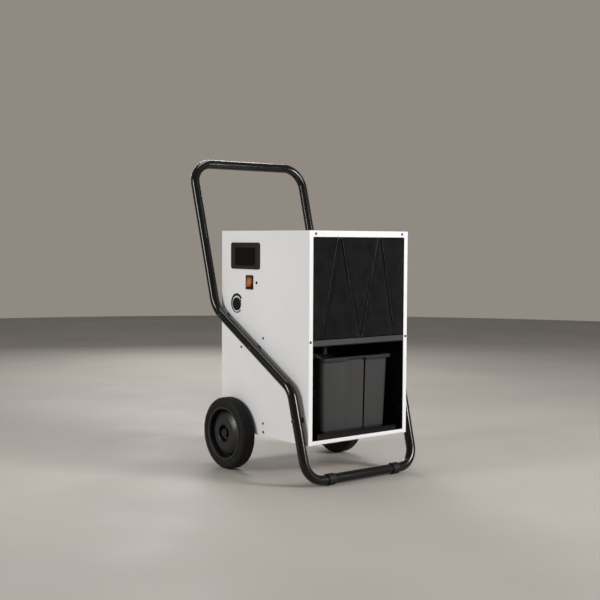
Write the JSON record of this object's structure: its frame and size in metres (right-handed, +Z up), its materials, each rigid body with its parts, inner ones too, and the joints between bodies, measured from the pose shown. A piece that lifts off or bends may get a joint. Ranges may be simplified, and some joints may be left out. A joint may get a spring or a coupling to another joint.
{
  "type": "portable dehumidifier",
  "caption": "Upright refrigerant dehumidifier in a white sheet-steel casing on a bent tube frame with wheels, a front foam filter, a slide-out water bucket and side controls.",
  "frame": {"origin": "on the floor, under the centre of the overall box", "axes": "+Z up, -Y towards the filter side (front), -X towards the control side, metres"},
  "size_m": [0.499, 0.621, 0.9845],
  "materials": {
    "white_coat": "semi-gloss",
    "dark_coat": "satin",
    "liner_coat": "matt",
    "tube_coat": "gloss",
    "filter_foam": "matt",
    "black_plastic": "satin",
    "bucket_plastic": "satin",
    "rim_plastic": "satin",
    "window": "gloss",
    "orange_lens": "gloss",
    "lamp_lens": "gloss",
    "tyre_rubber": "matt",
    "soft_rubber": "matt",
    "zinc_steel": "satin",
    "dark_screw": "satin",
    "spring_steel": "satin",
    "copper": "satin",
    "aluminium_fin": "satin",
    "compressor_coat": "gloss",
    "board": "satin",
    "capacitor_case": "satin",
    "printed_scale": "matt",
    "pale_plastic": "satin"
  },
  "bodies": {
    "casing": {"axle": "zinc_steel", "axle_brackets": "liner_coat", "axle_clips": "black_plastic", "axle_washers": "zinc_steel", "base_pan": "white_coat", "bay_deck": "liner_coat", "bay_liner": "liner_coat", "bucket_shelf": "dark_coat", "circuit_board": "board", "coil_plates": "zinc_steel", "coil_tubes": "copper", "compressor": "compressor_coat", "compressor_mounts": "soft_rubber", "condenser_fins": "aluminium_fin", "control_box": "zinc_steel", "dial_scale": "printed_scale", "display_bezel": "black_plastic", "display_module": "window", "display_window": "window", "drier_and_capillary": "copper", "drip_tray": "black_plastic", "evaporator_fins": "aluminium_fin", "fan_bracket": "zinc_steel", "fan_motor": "liner_coat", "fan_shroud": "liner_coat", "filter_rail": "dark_coat", "foot_bar": "tube_coat", "foot_sleeves": "soft_rubber", "frame_bolts": "dark_screw", "frame_spacers": "black_plastic", "frame_tube": "tube_coat", "front_screws": "dark_screw", "humidistat_body": "pale_plastic", "indicator_lamp": "lamp_lens", "level_switch": "black_plastic", "outlet_guard": "tube_coat", "panel_screws": "dark_screw", "power_inlet": "black_plastic", "rear_panel": "white_coat", "refrigerant_pipes": "copper", "run_capacitor": "capacitor_case", "side_panel_left": "white_coat", "side_panel_right": "white_coat", "switch_frame": "black_plastic", "top_panel": "white_coat"},
    "wheel_left": {"tyre_left": "tyre_rubber", "wheel_left": "rim_plastic", "wheel_bush_left": "pale_plastic"},
    "wheel_right": {"tyre_right": "tyre_rubber", "wheel_right": "rim_plastic", "wheel_bush_right": "pale_plastic"},
    "fan": {"fan_rotor": "black_plastic"},
    "filter": {"filter_foam": "filter_foam", "filter_frame": "black_plastic", "filter_wire": "spring_steel"},
    "bucket": {"bucket": "bucket_plastic", "float_pin": "zinc_steel"},
    "float": {"bucket_float": "pale_plastic"},
    "rocker": {"switch_rocker": "orange_lens"},
    "knob": {"humidistat_knob": "black_plastic"}
  },
  "joints": [
    {"name": "wheel_left_spin", "type": "hinge", "parent": "casing", "child": "wheel_left", "pos_m": [-0.2255, 0.087, 0.113], "axis": [1, 0, 0], "continuous": true},
    {"name": "wheel_right_spin", "type": "hinge", "parent": "casing", "child": "wheel_right", "pos_m": [0.2255, 0.087, 0.113], "axis": [1, 0, 0], "continuous": true},
    {"name": "fan_spin", "type": "hinge", "parent": "casing", "child": "fan", "pos_m": [0, 0.118, 0.56], "axis": [0, 1, 0], "continuous": true},
    {"name": "filter_pull", "type": "slide", "parent": "casing", "child": "filter", "axis": [0, -1, 0], "range_m": [0, 0.12]},
    {"name": "bucket_slide", "type": "slide", "parent": "casing", "child": "bucket", "axis": [0, -1, 0], "range_m": [0, 0.3]},
    {"name": "float_lift", "type": "hinge", "parent": "bucket", "child": "float", "pos_m": [0.012, -0.046, 0.356], "axis": [-1, 0, 0], "range_deg": [0, 20]},
    {"name": "power_rocker", "type": "hinge", "parent": "casing", "child": "rocker", "pos_m": [-0.196, 0.013, 0.5905], "axis": [0, 1, 0], "range_deg": [-18, 0]},
    {"name": "humidistat_turn", "type": "hinge", "parent": "casing", "child": "knob", "pos_m": [-0.204, 0.0795, 0.5205], "axis": [1, 0, 0], "range_deg": [0, 270]}
  ]
}
